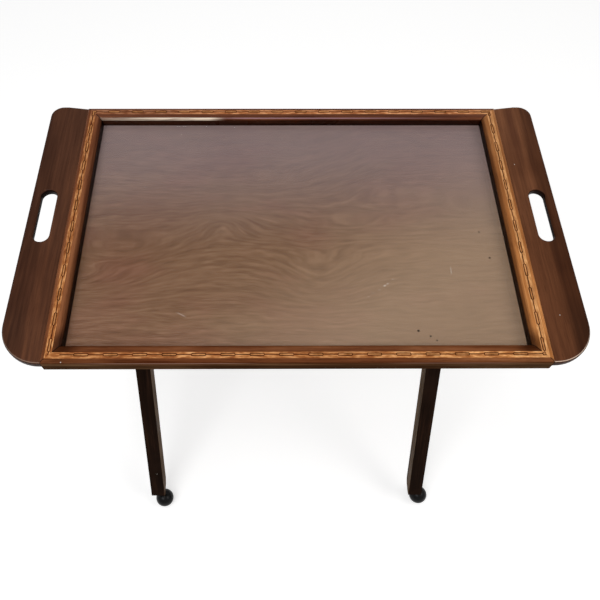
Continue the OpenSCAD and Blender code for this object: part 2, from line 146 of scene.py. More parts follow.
def make_camera():
    """The camera of the photograph."""
    data = bpy.data.cameras.new("camera")
    data.sensor_fit = "AUTO"
    data.sensor_width = SENSOR
    data.lens = CAMERA_LENS
    data.shift_x = SHIFT_X
    data.shift_y = SHIFT_Y
    data.clip_start = 0.01
    data.clip_end = 60.0
    camera = bpy.data.objects.new("camera", data)
    aim = Matrix.Rotation(CAMERA_YAW, 4, "Z") @ Matrix.Rotation(math.pi / 2 - CAMERA_DOWN, 4, "X")
    camera.matrix_world = Matrix.Translation(CAMERA_AT) @ aim @ Matrix.Rotation(CAMERA_ROLL, 4, "Z")
    bpy.context.scene.collection.objects.link(camera)
    bpy.context.scene.camera = camera
    return camera


camera = make_camera()
bpy.context.view_layer.update()


def seen_at(point):
    """Where a point in the frame shows in the image."""
    p = camera.matrix_world.inverted() @ Vector(point)
    k = CAMERA_LENS / SENSOR * L / -p.z
    return (W / 2 - SHIFT_X * L + p.x * k, H / 2 + SHIFT_Y * L - p.y * k)


def ray_through(x, y):
    """Start and direction of the ray through an image point."""
    turn = camera.matrix_world.to_3x3()
    ray = Vector((x - W / 2 + SHIFT_X * L, H / 2 - y + SHIFT_Y * L, -L * CAMERA_LENS / SENSOR))
    return camera.matrix_world.translation.copy(), (turn @ ray).normalized()


# ---------------------------------------------------------------- making pieces
def link_mesh(name, bm, body, smooth=False):
    """Turns a bmesh into a piece that rides on a body."""
    bmesh.ops.recalc_face_normals(bm, faces=bm.faces)
    mesh = bpy.data.meshes.new(name)
    bm.to_mesh(mesh)
    bm.free()
    for face in mesh.polygons:
        face.use_smooth = smooth
    piece = bpy.data.objects.new(name, mesh)
    bpy.context.scene.collection.objects.link(piece)
    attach(piece, body)
    return piece


def carrier_tree(objects):
    """A BVHTree of what carries a placed piece, as finished and placed."""
    depsgraph = bpy.context.evaluated_depsgraph_get()
    points, faces = [], []
    for piece in objects:
        mesh = piece.evaluated_get(depsgraph).to_mesh()
        start = len(points)
        points.extend(piece.matrix_world @ v.co for v in mesh.vertices)
        faces.extend([start + i for i in face.vertices] for face in mesh.polygons)
    return BVHTree.FromPolygons(points, faces)


def place_on(tree, x, y):
    """The surface point and normal under an image point, or the place nearest its ray."""
    start, ray = ray_through(x, y)
    at, normal, _, _ = tree.ray_cast(start, ray)
    if at is None:
        reach = (Vector((0, 0, TRAY_Z)) - start).length
        at, normal, _, _ = tree.find_nearest(start + ray * reach)
    if normal.dot(ray) > 0:
        normal = -normal
    return at, normal


# ---------------------------------------------------------------- shader helpers
# Two bare numbers in a step or a fall are the ends of a soft mask. They are in metres where the mask
# lies along a coordinate or a depth. Three bare numbers in a tinted are the tint.
class Shader:
    """A node material built with short calls."""

    def __init__(self, name):
        self.material = bpy.data.materials.new(name)
        self.material.use_nodes = True
        self.tree = self.material.node_tree
        self.tree.nodes.clear()
        self.out = self.tree.nodes.new("ShaderNodeOutputMaterial")
        self.coords = self.tree.nodes.new("ShaderNodeTexCoord").outputs["Object"]

    def add(self, kind, settings=None, **inputs):
        """A node with its inputs set by name, with _ for a space, or by number as i0, i1."""
        node = self.tree.nodes.new("ShaderNode" + kind)
        for key, value in (settings or {}).items():
            setattr(node, key, value)
        for key, value in inputs.items():
            numbered = key[0] == "i" and key[1:].isdigit()
            self.put(value, node.inputs[int(key[1:]) if numbered else key.replace("_", " ")])
        return node

    def put(self, value, socket):
        """Links a socket or sets its value; colours are written without their alpha."""
        if isinstance(value, bpy.types.NodeSocket):
            self.tree.links.new(value, socket)
        else:
            socket.default_value = (*value, 1) if socket.type == "RGBA" else value

    def math(self, operation, a, b=0.0):
        return self.add("Math", {"operation": operation}, i0=a, i1=b).outputs[0]

    def plus(self, a, b):
        return self.math("ADD", a, b)

    def minus(self, a, b):
        return self.math("SUBTRACT", a, b)

    def absolute(self, a):
        return self.math("ABSOLUTE", a)

    def times(self, product, *factors):
        for factor in factors:
            product = self.math("MULTIPLY", product, factor)
        return product

    def weighted(self, *shares):
        """The sum of values, each times its weight."""
        parts = [self.times(value, weight) for value, weight in shares]
        total = parts[0]
        for part in parts[1:]:
            total = self.plus(total, part)
        return total

    def xyz(self):
        """The object coordinates apart."""
        return tuple(self.add("SeparateXYZ", Vector=self.coords).outputs)

    def distance(self, x, y, to_x, to_y):
        """How far a place lies from another in the tray's plane."""
        dx, dy = self.minus(x, to_x), self.minus(y, to_y)
        return self.math("SQRT", self.plus(self.times(dx, dx), self.times(dy, dy)))

    def mapped(self, scale, turn=(0, 0, 0), shift=(0, 0, 0)):
        """Object coordinates, turned first and then scaled."""
        turned = self.add("Mapping", Vector=self.coords, Rotation=turn, Location=shift).outputs[0]
        return self.add("Mapping", Vector=turned, Scale=scale).outputs[0]

    def noise(self, vector, scale=1.0, detail=4.0, rough=0.5, distortion=0.0):
        node = self.add("TexNoise", Vector=vector, Scale=scale, Detail=detail, Roughness=rough,
                        Distortion=distortion)
        return node.outputs[0]

    def ramp(self, value, stops):
        """Colours or greys at places along a value."""
        node = self.add("ValToRGB", Fac=value)
        ramp = node.color_ramp
        ramp.interpolation = "LINEAR"
        while len(ramp.elements) < len(stops):
            ramp.elements.new(0.5)
        for element, (place, colour) in zip(ramp.elements, stops):
            element.position = place
            element.color = (*colour, 1) if isinstance(colour, tuple) else (colour, colour, colour, 1)
        return node.outputs[0]

    def mix(self, fac, a, b, mode="MIX"):
        node = self.add("Mix", {"data_type": "RGBA", "blend_type": mode}, i0=fac, i6=a, i7=b)
        return node.outputs[2]

    def tinted(self, fac, base, tint):
        """The colour multiplied by a tint where fac is 1."""
        return self.mix(fac, base, self.mix(1.0, base, tint, "MULTIPLY"))

    def step(self, value, low, high):
        """0 below low, 1 above high, smooth between."""
        settings = {"interpolation_type": "SMOOTHSTEP"}
        return self.add("MapRange", settings, Value=value, From_Min=low, From_Max=high).outputs[0]

    def fall(self, value, low, high):
        """1 below low, 0 above high, smooth between."""
        return self.minus(1.0, self.step(value, low, high))

    def laid(self, value, low, high, to_low, to_high):
        """The stretch from low to high laid over the one from to_low to to_high."""
        return self.add("MapRange", Value=value, From_Min=low, From_Max=high, To_Min=to_low,
                        To_Max=to_high).outputs[0]

    def surface(self, base, roughness, height=None, bump=0.1, distance=0.0005, **inputs):
        """The one shader of the material, with a bump where a height is given."""
        bsdf = self.add("BsdfPrincipled", Base_Color=base, Roughness=roughness, **inputs)
        if height is not None:
            lift = self.add("Bump", Strength=bump, Distance=distance, Height=height)
            self.tree.links.new(lift.outputs[0], bsdf.inputs["Normal"])
        self.tree.links.new(bsdf.outputs[0], self.out.inputs[0])
        return bsdf


def srgb(r, g, b):
    """A colour written as 0 to 255 values, made linear."""
    return tuple(((c / 255 + 0.055) / 1.055) ** 2.4 if c > 10 else c / 255 / 12.92 for c in (r, g, b))


def dimmed(colour, share):
    """A colour at a share of its light."""
    return tuple(c * share for c in colour)


# The woods from dark to light, and what is laid over them
FRONT_TONES = (srgb(76, 38, 19), srgb(106, 61, 36), srgb(136, 86, 55))
REAR_TONES = (srgb(70, 32, 17), srgb(100, 55, 33), srgb(128, 76, 50))
# The side rails' tones are lighter copies of the rail mahogany, the right one most: painted light.
LEFT_LIT_TONES = (srgb(84, 44, 24), srgb(116, 67, 40), srgb(144, 92, 60))
RIGHT_LIT_TONES = (srgb(126, 76, 40), srgb(158, 102, 58), srgb(184, 126, 78))
LEFT_BOARD = (srgb(62, 36, 24), srgb(80, 49, 34), srgb(100, 62, 42))
RIGHT_BOARD = (srgb(88, 52, 34), srgb(107, 67, 44), srgb(128, 82, 55))
PANEL = (srgb(99, 68, 48), srgb(124, 91, 68), srgb(147, 112, 88))
BANDING = (srgb(136, 78, 38), srgb(176, 114, 64), srgb(216, 158, 104))
LEG_TONES = (srgb(18, 11, 8), srgb(32, 20, 14), srgb(54, 35, 25))
GLASS_REFLECTION_RIGHT = srgb(184, 156, 132)
GLASS_REFLECTION_REAR = srgb(143, 127, 133)
ARRIS_HIGHLIGHT = srgb(206, 180, 160)
MITRE = (0.012, 0.005, 0.003)
FRONT_HIGHLIGHT = srgb(196, 152, 136)
REAR_HIGHLIGHT = srgb(232, 214, 192)
REAR_REFLECTION_LINE = srgb(170, 132, 138)
PAINTED_LIGHT_BAND = srgb(224, 170, 112)
PIT = srgb(40, 24, 16)
GLASS_GLINT = srgb(190, 178, 160)
BARE_WOOD = srgb(104, 82, 62)

GRAIN_X = (0, 0, 0)
GRAIN_Y = (0, 0, -math.pi / 2)


def wood(name, dark, mid, light, turn=GRAIN_X, figure=1.0, pores=0.5, roughness=(0.3, 0.45), specular=0.2,
         extra=None):
    """Polished wood whose grain runs along X before the turn; extra lays more tones over it."""
    s = Shader(name)
    broad = s.noise(s.mapped((3.0, 22.0, 22.0), turn), 1.6 * figure, 3, 0.5, 0.8)
    fine = s.noise(s.mapped((9.0, 240.0, 240.0), turn), 1.0, 4, 0.6, 0.2)
    pore = s.noise(s.mapped((60.0, 1500.0, 1500.0), turn), 1.0, 2, 0.6)
    patch = s.noise(s.coords, 9.0, 3, 0.5)
    tone = s.weighted((broad, 0.6), (fine, 0.4))
    base = s.ramp(tone, [(0.36, dark), (0.5, mid), (0.64, light)])
    streak = s.step(pore, 0.56, 0.68)
    base = s.mix(s.times(streak, pores), base, dimmed(dark, 0.45))
    base = s.tinted(s.step(patch, 0.45, 0.75), base, (0.8, 0.76, 0.74))
    if extra:
        base = extra(s, base)
    rough = s.laid(patch, 0.3, 0.7, *roughness)
    height = s.minus(fine, s.times(streak, 0.5))
    s.surface(base, rough, height, 0.1, 0.0003, IOR=1.5, Specular_IOR_Level=specular)
    return s.material


def frame_joints(s, base):
    """Dark lines at the mitres, the rails' upright faces darker, and painted shade in the near inner
    corners.
    """
    x, y, z = s.xyz()
    ax, ay = s.absolute(x), s.absolute(y)
    off_mitre = s.absolute(s.minus(s.minus(FRAME_X, ax), s.minus(FRAME_Y, ay)))
    seam = s.fall(off_mitre, 0.0004, 0.0012)
    base = s.mix(s.times(seam, 0.85), base, MITRE)
    upright = s.fall(z, TRAY_Z - RAIL_FALL, TRAY_Z - 0.0012)
    base = s.tinted(upright, base, (0.3, 0.27, 0.25))
    foot = s.fall(z, TRAY_Z - 0.013, TRAY_Z - 0.008)
    base = s.tinted(foot, base, (0.5, 0.5, 0.5))
    # Painted shade in the near inner corners, fading toward the rear.
    reach = s.distance(ax, ay, FRAME_X - RAIL_WIDTH, FRAME_Y - RAIL_WIDTH)
    grime = s.times(s.fall(reach, 0.006, 0.03), s.fall(y, -0.1, 0.0))
    return s.tinted(s.times(grime, 0.9), base, (0.22, 0.17, 0.13))


def front_rail_tones(s, base):
    """Outer roundover darkest along its middle, a pale upright face, a broken painted highlight line above
    it and painted light to the right.
    """
    x, y, z = s.xyz()
    out = s.plus(y, FRAME_Y)
    rim = s.fall(out, 0.0015, 0.0052)
    middle_part = s.fall(s.absolute(s.minus(x, -0.02)), 0.12, 0.3)
    base = s.tinted(s.times(rim, middle_part), base, (0.88, 0.8, 0.76))
    base = frame_joints(s, base)
    depth = s.minus(TRAY_Z, z)
    face = s.step(depth, 0.003, 0.006)
    base = s.tinted(face, base, (3.6, 6.0, 8.0))
    # A broken line of painted highlight along the outer roundover, above the upright face.
    line = s.fall(s.absolute(s.minus(depth, 0.004)), 0.0003, 0.0009)
    left = s.times(s.step(x, -0.3, -0.22), s.fall(x, -0.1, -0.03))
    right = s.times(s.step(x, 0.1, 0.15), s.fall(x, 0.24, 0.3))
    painted_highlight = s.times(line, s.math("MAXIMUM", left, s.times(right, 0.6)))
    outside = s.fall(out, 0.004, 0.006)
    # Painted light over the rail's right part, above its upright face.
    painted_light = s.times(s.step(x, 0.12, 0.26), s.minus(1.0, face))
    base = s.tinted(painted_light, base, (1.4, 1.5, 1.5))
    return s.mix(s.times(painted_highlight, outside, 0.75), base, FRONT_HIGHLIGHT)


def rear_rail_tones(s, base):
    """Inner roundover with a painted highlight at its left and a faint painted reflection line beyond."""
    base = frame_joints(s, base)
    x, y, z = s.xyz()
    depth = s.minus(TRAY_Z, z)
    out = s.minus(FRAME_Y, y)
    inward = s.step(out, 0.014, 0.02)
    base = s.tinted(s.times(s.step(out, 0.014, 0.019), 0.8), base, (0.72, 0.66, 0.64))
    streak = s.noise(s.mapped((9.0, 1.0, 420.0)), 1.0, 3, 0.6)
    # A painted highlight, streaked, on the inner roundover at the left.
    worn = s.times(s.step(depth, 0.0001, 0.0007), s.fall(depth, 0.0026, 0.0046), inward)
    highlight_reach = s.times(s.plus(0.45, s.times(s.step(x, -0.3, -0.19), 0.55)), s.fall(x, -0.13, -0.1))
    patch = s.times(worn, highlight_reach, s.step(streak, 0.36, 0.6))
    base = s.mix(patch, base, REAR_HIGHLIGHT)
    # A faint line of painted reflection further to the right.
    fine = s.times(s.step(depth, 0.0002, 0.0006), s.fall(depth, 0.001, 0.0018))
    beyond = s.times(s.step(x, -0.13, -0.07), s.fall(x, 0.05, 0.3))
    line = s.times(fine, inward, beyond)
    return s.mix(s.times(line, 0.6), base, REAR_REFLECTION_LINE)


def side_rail_tones(s, base):
    """The side rails' inner slopes darken toward the panel, and the right rail has painted light over its
    nearer part.
    """
    base = frame_joints(s, base)
    x, y, z = s.xyz()
    inward = s.minus(FRAME_X, s.absolute(x))
    base = s.tinted(s.step(inward, 0.0165, 0.0225), base, (0.42, 0.38, 0.36))
    low = s.fall(z, TRAY_Z - 0.005, TRAY_Z - 0.002)
    base = s.tinted(s.times(low, s.step(inward, 0.018, 0.022)), base, (0.3, 0.25, 0.22))
    base = s.tinted(s.fall(y, -0.12, 0.1), base, (1.12, 1.12, 1.06))
    # Painted light on the right rail's nearer part.
    painted_light = s.times(s.step(x, 0.0, 0.1), s.fall(y, 0.02, 0.16))
    return s.tinted(painted_light, base, (1.25, 1.25, 1.2))


def board_tones(s, base):
    """Outer edge darker than the inner, near corners darker, painted shade on the side faces and slot
    walls, and a painted highlight along the arris.
    """
    x, y, z = s.xyz()
    ax = s.absolute(x)
    inboard = s.math("LESS_THAN", ax, SLOT_OUTSIDE_X)
    wander = s.noise(s.mapped((14.0, 5.0, 5.0)), 1.0, 3, 0.5)
    ax = s.plus(ax, s.times(s.minus(wander, 0.5), 0.03))
    right = s.step(x, 0.0, 0.1)
    outer = s.times(s.step(ax, 0.348, 0.364), s.plus(0.2, s.times(right, 0.7)))
    base = s.tinted(outer, base, (0.5, 0.45, 0.42))
    near = s.fall(y, -0.1, 0.17)
    base = s.tinted(s.times(near, s.times(right, 0.9)), base, (0.62, 0.56, 0.52))
    corner = s.times(s.fall(y, -0.17, -0.1), s.step(ax, 0.346, 0.368))
    base = s.tinted(s.times(corner, 0.6), base, (0.55, 0.6, 0.66))
    depth = s.minus(BOARD_Z, z)
    beside = s.times(s.step(y, -0.036, -0.03), s.fall(y, 0.036, 0.05))
    start = s.times(beside, inboard, SLOT_WALL_DROP)
    # Painted shade below the top face, on the side faces and slot walls; beside the slots it begins lower.
    shade = s.step(s.minus(depth, start), 0.0007, 0.0018)
    base = s.tinted(shade, base, (0.32, 0.3, 0.29))
    # Deeper painted shade inside the slots.
    slot = s.times(inboard, s.math("LESS_THAN", s.absolute(y), SLOT_ROOM_Y))
    base = s.tinted(s.times(shade, slot), base, (0.4, 0.36, 0.34))
    # A painted highlight line along the arris toward the front.
    line = s.times(s.step(depth, 0.00015, 0.0003), s.fall(depth, 0.0007, 0.001))
    front = s.fall(y, -0.21, -0.15)
    front = s.times(front, s.plus(0.25, s.times(right, 0.65)))
    return s.mix(s.times(line, front), base, ARRIS_HIGHLIGHT)


def banding_wood():
    """Pale banding whose grain follows each strip, with painted light to the right and greyer at the rear.
    """
    s = Shader("banding_wood")
    x, y, _ = s.xyz()
    ax, ay = s.absolute(x), s.absolute(y)
    on_side = s.math("LESS_THAN", s.minus(FRAME_X, ax), s.minus(FRAME_Y, ay))
    along = s.add("Mix", {"data_type": "VECTOR"}, i0=on_side, i4=s.mapped((90, 480, 480)),
                  i5=s.mapped((480, 90, 480))).outputs[1]
    grain = s.noise(along, 1.0, 4, 0.6)
    patch = s.noise(s.coords, 16.0, 3, 0.6)
    base = s.ramp(grain, list(zip((0.36, 0.5, 0.64), BANDING)))
    base = s.tinted(s.step(patch, 0.4, 0.75), base, (0.72, 0.64, 0.58))
    base = s.tinted(s.fall(x, -0.33, 0.2), base, (0.92, 0.89, 0.88))
    rear = s.step(y, 0.19, 0.205)
    base = s.tinted(rear, base, (1.18, 1.16, 1.34))
    base = s.tinted(s.times(rear, s.fall(x, -0.2, -0.14)), base, (0.62, 0.6, 0.66))
    near = s.fall(y, -0.2, 0.1)
    base = s.tinted(near, base, (1.12, 1.12, 1.08))
    base = s.tinted(s.times(near, s.step(x, 0.1, 0.25)), base, (1.16, 1.2, 1.22))
    # A painted patch of light at the right end.
    base = s.mix(s.times(s.step(x, 0.28, 0.305), 0.3), base, PAINTED_LIGHT_BAND)
    s.surface(base, 0.34, grain, 0.1, 0.0002, Specular_IOR_Level=0.1)
    return s.material


def stringing_wood(name, dark, light):
    """The thin woods of the chain, speckled between two tones."""
    s = Shader(name)
    patch = s.noise(s.coords, 90.0, 3, 0.6)
    base = s.ramp(patch, [(0.35, dark), (0.65, light)])
    s.surface(base, 0.4, patch, 0.1, 0.0002, Specular_IOR_Level=0.05)
    return s.material


# Swells that turn the panel's grain aside: centre x, y, reach x, y, and lift, all in metres
SWELLS = (
    (-0.300, -0.086, 0.105, 0.030, 0.060),
    (-0.250, -0.038, 0.085, 0.020, 0.034),
    (-0.100, 0.004, 0.040, 0.026, -0.030),
    (0.085, -0.002, 0.130, 0.017, 0.018),
    (0.150, -0.040, 0.120, 0.013, -0.013),
    (0.035, -0.090, 0.060, 0.050, 0.034),
    (-0.060, 0.085, 0.160, 0.030, 0.014),
    (0.210, -0.150, 0.110, 0.034, 0.018),
)

# Dark specks in the panel: x, y and radius in metres
PITS = (
    (0.1586, -0.1667, 0.0022),
    (0.1735, -0.1745, 0.0017),
    (0.1810, -0.1805, 0.0015),
    (0.2705, -0.0545, 0.0020),
    (0.2628, -0.0109, 0.0016),
)


def panel_rim(s, x, y):
    """A thin painted line of light on the panel along the glass pane's ground edge."""
    right = s.step(x, PANEL_HIGH[0] - 0.0016, PANEL_HIGH[0] - 0.0008)
    right = s.times(right, s.fall(y, -0.15, 0.1))
    front = s.fall(y, -PANEL_HIGH[1] + 0.0012, -PANEL_HIGH[1] + 0.002)
    front = s.times(front, s.fall(x, -0.2, 0.05))
    return s.times(s.math("MAXIMUM", right, front), 0.5)


def pits(s, x, y):
    """The panel's few dark specks."""
    mask = 0.0
    for at_x, at_y, radius in PITS:
        reach = s.distance(x, y, at_x, at_y)
        mask = s.math("MAXIMUM", mask, s.fall(reach, radius * 0.5, radius))
    return mask


def panel_wood():
    """Figured veneer with long grain that bends round swells into nested arches."""
    s = Shader("panel_wood")
    x, y, _ = s.xyz()
    bent = y
    for cx, cy, reach_x, reach_y, lift in SWELLS:
        dx = s.math("DIVIDE", s.minus(x, cx), reach_x)
        dy = s.math("DIVIDE", s.minus(y, cy), reach_y)
        square = s.plus(s.times(dx, dx), s.times(dy, dy))
        swell = s.math("EXPONENT", s.times(square, -1.0))
        bent = s.plus(bent, s.times(swell, lift))
    rise = s.times(s.step(x, 0.0, 0.14), s.step(y, 0.03, 0.075))
    bent = s.minus(bent, s.times(rise, 0.035))
    warp = s.noise(s.mapped((5.0, 14.0, 5.0)), 1.0, 4, 0.6, 0.4)
    curl = s.noise(s.mapped((17.0, 34.0, 17.0)), 1.0, 3, 0.5, 0.3)
    bent = s.plus(bent, s.times(s.minus(warp, 0.5), 0.016))
    bent = s.plus(bent, s.times(s.minus(curl, 0.5), 0.011))
    follow = s.add("CombineXYZ", X=x, Y=bent, Z=0.0).outputs[0]

    def along(scale, detail, rough, shift=0.0):
        """Noise drawn out along the bent grain."""
        place = s.add("Mapping", Vector=follow, Scale=scale, Location=(shift, shift, 0)).outputs[0]
        return s.noise(place, 1.0, detail, rough)

    bands = along((2.6, 74.0, 1.0), 3, 0.5)
    wisps = along((36.0, 190.0, 1.0), 4, 0.6, 5.0)
    lines = along((12.0, 260.0, 1.0), 3, 0.6, 3.0)
    fibre = along((44.0, 560.0, 1.0), 2, 0.6, 7.0)
    pore = s.noise(s.mapped((40.0, 300.0, 300.0)), 1.0, 1, 0.5)
    patch = s.noise(s.coords, 6.0, 3, 0.5)
    tone = s.weighted((bands, 0.14), (lines, 0.26), (wisps, 0.36), (fibre, 0.28))
    base = s.ramp(tone, list(zip((0.36, 0.51, 0.66), PANEL)))
    vein = s.fall(s.absolute(s.minus(bands, 0.56)), 0.0, 0.03)
    base = s.mix(s.times(vein, 0.22), base, PANEL[2])
    base = s.mix(s.times(s.step(pore, 0.6, 0.75), 0.25), base, PANEL[0])
    base = s.tinted(s.step(patch, 0.45, 0.7), base, (0.93, 0.86, 0.86))
    rosy = s.noise(s.mapped((5.0, 11.0, 5.0), shift=(3, 1, 0)), 1.0, 3, 0.55)
    base = s.tinted(s.step(rosy, 0.46, 0.62), base, (1.03, 0.95, 1.0))
    # Painted reflections of the glass: a pale veil toward the right front and a greyish veil at the rear.
    slant = s.minus(x, s.times(s.plus(y, 0.17), 1.2))
    base = s.mix(s.times(s.step(slant, -0.22, 0.12), 0.46), base, GLASS_REFLECTION_RIGHT)
    base = s.mix(s.times(s.step(y, -0.06, 0.17), 0.6), base, GLASS_REFLECTION_REAR)
    base = s.mix(s.times(pits(s, x, y), 0.9), base, PIT)
    # A painted line of light along the glass's edge.
    base = s.mix(panel_rim(s, x, y), base, GLASS_GLINT)
    s.surface(base, 0.5, Specular_IOR_Level=0.05)
    return s.material


def clear_glass():
    """Glass that lets lamps through to the panel, with faint smears."""
    s = Shader("clear_glass")
    smear = s.noise(s.mapped((6, 11, 6)), 1.0, 5, 0.6)
    tint = s.ramp(smear, [(0.4, srgb(253, 255, 254)), (0.7, srgb(248, 250, 248))])
    pane = s.surface(tint, 0.0, None, Transmission_Weight=1.0, IOR=1.15, Specular_IOR_Level=0.1)
    open_to_lamps = s.add("BsdfTransparent", Color=(0.97, 0.98, 0.975))
    path = s.tree.nodes.new("ShaderNodeLightPath")
    lit = s.math("MAXIMUM", path.outputs["Is Shadow Ray"], path.outputs["Is Diffuse Ray"])
    either = s.add("MixShader", i0=lit, i1=pane.outputs[0], i2=open_to_lamps.outputs[0])
    s.tree.links.new(either.outputs[0], s.out.inputs[0])
    return s.material


def metal(name, colour, roughness):
    """Old metal, stained in patches."""
    s = Shader(name)
    patch = s.noise(s.coords, 260.0, 4, 0.6)
    stain = s.noise(s.coords, 60.0, 3, 0.6)
    base = s.mix(s.step(stain, 0.45, 0.7), colour, dimmed(colour, 0.45))
    rough = s.laid(patch, 0.0, 1.0, roughness - 0.1, roughness + 0.15)
    s.surface(base, rough, patch, 0.15, 0.0002, Metallic=1.0)
    return s.material


def castor_black(name, lift):
    """Black plastic, a little worn; lift makes its grime paler."""
    s = Shader(name)
    scuff = s.noise(s.coords, 300.0, 5, 0.65)
    grime = s.noise(s.coords, 70.0, 4, 0.6)
    base = s.ramp(grime, [(0.4, srgb(5, 5, 6)), (0.72, srgb(18 + lift, 17 + lift, 16 + lift))])
    rough = s.ramp(scuff, [(0.35, 0.16), (0.7, 0.4)])
    s.surface(base, rough, scuff, 0.12, 0.0002, Specular_IOR_Level=0.12)
    return s.material


def paint_speck(name, colour):
    """Matt paint or scratched glass."""
    s = Shader(name)
    patch = s.noise(s.coords, 2000.0, 2, 0.5)
    base = s.mix(s.step(patch, 0.3, 0.8), colour, dimmed(colour, 0.7))
    s.surface(base, 0.6)
    return s.material


# ---------------------------------------------------------------- finishes
def leg_wood(name, side, cheek_x):
    """Dark stained wood with its grain along the legs, worn paler on the faces at cheek_x."""
    s = Shader(name)
    turn = (-side * LEG_LEAN, 0, 0)
    broad = s.noise(s.mapped((30, 4, 30), turn), 1.2, 4, 0.55, 0.6)
    fine = s.noise(s.mapped((300, 12, 300), turn), 1.0, 4, 0.6)
    patch = s.noise(s.coords, 12.0, 4, 0.55)
    tone = s.weighted((broad, 0.55), (fine, 0.45))
    base = s.ramp(tone, list(zip((0.36, 0.52, 0.68), LEG_TONES)))
    base = s.mix(s.step(patch, 0.5, 0.8), base, srgb(40, 26, 19))
    ax = s.absolute(s.xyz()[0])
    cheek = s.times(s.step(ax, cheek_x - 0.0012, cheek_x - 0.0004), s.fall(ax, cheek_x, cheek_x + 0.0008))
    base = s.mix(s.times(cheek, s.step(fine, 0.3, 0.6)), base, BARE_WOOD)
    rough = s.laid(patch, 0.3, 0.7, 0.38, 0.6)
    s.surface(base, rough, fine, 0.12, 0.0003, Specular_IOR_Level=0.01)
    return s.material


def paint(nodes, material, bevel=0.0):
    """Gives CAD nodes a finish, and eases their sharp edges."""
    for name in nodes:
        node = NODES[name]
        node.data.materials.clear()
        node.data.materials.append(material)
        if bevel:
            weld = node.modifiers.new("weld", "WELD")
            weld.merge_threshold = WELD_REACH
            ease = node.modifiers.new("ease", "BEVEL")
            ease.width = bevel
            ease.segments = 2
            ease.limit_method = "ANGLE"
            ease.angle_limit = math.radians(40)
            ease.harden_normals = True


front_mahogany = wood("front_mahogany", *FRONT_TONES, GRAIN_X, specular=0.0, extra=front_rail_tones)
rear_mahogany = wood("rear_mahogany", *REAR_TONES, GRAIN_X, roughness=(0.2, 0.34), specular=0.1,
                     extra=rear_rail_tones)
# The side rails' materials use the lighter tones: painted light.
left_lit_mahogany = wood("left_lit_mahogany", *LEFT_LIT_TONES, GRAIN_Y, specular=0.05, extra=side_rail_tones)
right_lit_mahogany = wood("right_lit_mahogany", *RIGHT_LIT_TONES, GRAIN_Y, specular=0.05, extra=side_rail_tones)
left_board_wood = wood("left_board_wood", *LEFT_BOARD, GRAIN_Y, 0.8, 0.3, (0.32, 0.5), 0.04, board_tones)
right_board_wood = wood("right_board_wood", *RIGHT_BOARD, GRAIN_Y, 0.8, 0.3, (0.32, 0.5), 0.04, board_tones)
for rail, mahogany in zip(RAILS, (front_mahogany, rear_mahogany, left_lit_mahogany, right_lit_mahogany)):
    paint((rail,), mahogany)
paint(BANDS, banding_wood())
paint(("panel",), panel_wood())
for board, board_wood in zip(BOARDS, (left_board_wood, right_board_wood)):
    paint((board,), board_wood)
paint(OUTER_WOOD, leg_wood("outer_leg_wood", 1, -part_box("outer_left_leg")[1][0]), LEG_EASE)
paint(INNER_WOOD, leg_wood("inner_leg_wood", -1, -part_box("inner_left_leg")[1][0]), LEG_EASE)
paint(("hinge_blocks", "stop_blocks"), wood("block_wood", *LEFT_BOARD, GRAIN_Y), BLOCK_EASE)
paint(("hinge_bolts", "pivot_bolts", "pivot_nuts"), metal("old_brass", srgb(176, 146, 92), 0.38))
steel = metal("dull_steel", srgb(150, 150, 148), 0.42)
paint(("hinge_washers", "pivot_washers", "block_screws", "stop_screws"), steel)
paint(("front_sockets", "rear_sockets"), steel)
hood_black, wheel_black = castor_black("hood_black", 0), castor_black("wheel_black", 6)
for corner in CASTORS:
    paint((corner + "_hood",), hood_black)
    paint((corner + "_wheel",), wheel_black)
    paint((corner + "_stem", corner + "_axle"), steel)


# ---------------------------------------------------------------- glass pane
def make_glass():
    """The loose pane with ground edges, a hair above the panel."""
    bm = bmesh.new()
    bmesh.ops.create_cube(bm, size=1.0)
    low, high = Vector(GLASS_LOW) + Vector((0, 0, GLASS_LIFT)), Vector(GLASS_HIGH)
    bmesh.ops.scale(bm, vec=high - low, verts=bm.verts)
    bmesh.ops.translate(bm, vec=(high + low) / 2, verts=bm.verts)
    bmesh.ops.bevel(bm, geom=bm.edges[:], offset=GLASS_EDGE, segments=2, profile=0.5, affect="EDGES",
                    material=-1)
    pane = link_mesh("glass_pane_ground", bm, "tray")
    pane.data.materials.append(clear_glass())
    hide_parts("glass_pane")
    return pane


glass = make_glass()


# ---------------------------------------------------------------- chain stringing
def flat_face(bm, outline, z):
    """One flat face from an outline."""
    face = bm.faces.new([bm.verts.new((x, y, z)) for x, y in outline])
    face.normal_update()
    return face


def link_outline():
    """A long six-cornered link, pointed a little at both ends."""
    x, y = CHAIN_LINK / 2, CHAIN_WIDTH / 2
    tip = x - CHAIN_POINT
    return [(-x, 0), (-tip, -y), (tip, -y), (x, 0), (tip, y), (-tip, y)]


def rise(bm, faces, height):
    """Raises flat faces into closed solids."""
    raised = bmesh.ops.extrude_face_region(bm, geom=faces, use_keep_orig=True)["geom"]
    tops = [v for v in raised if isinstance(v, bmesh.types.BMVert)]
    bmesh.ops.translate(bm, vec=(0, 0, height), verts=tops)


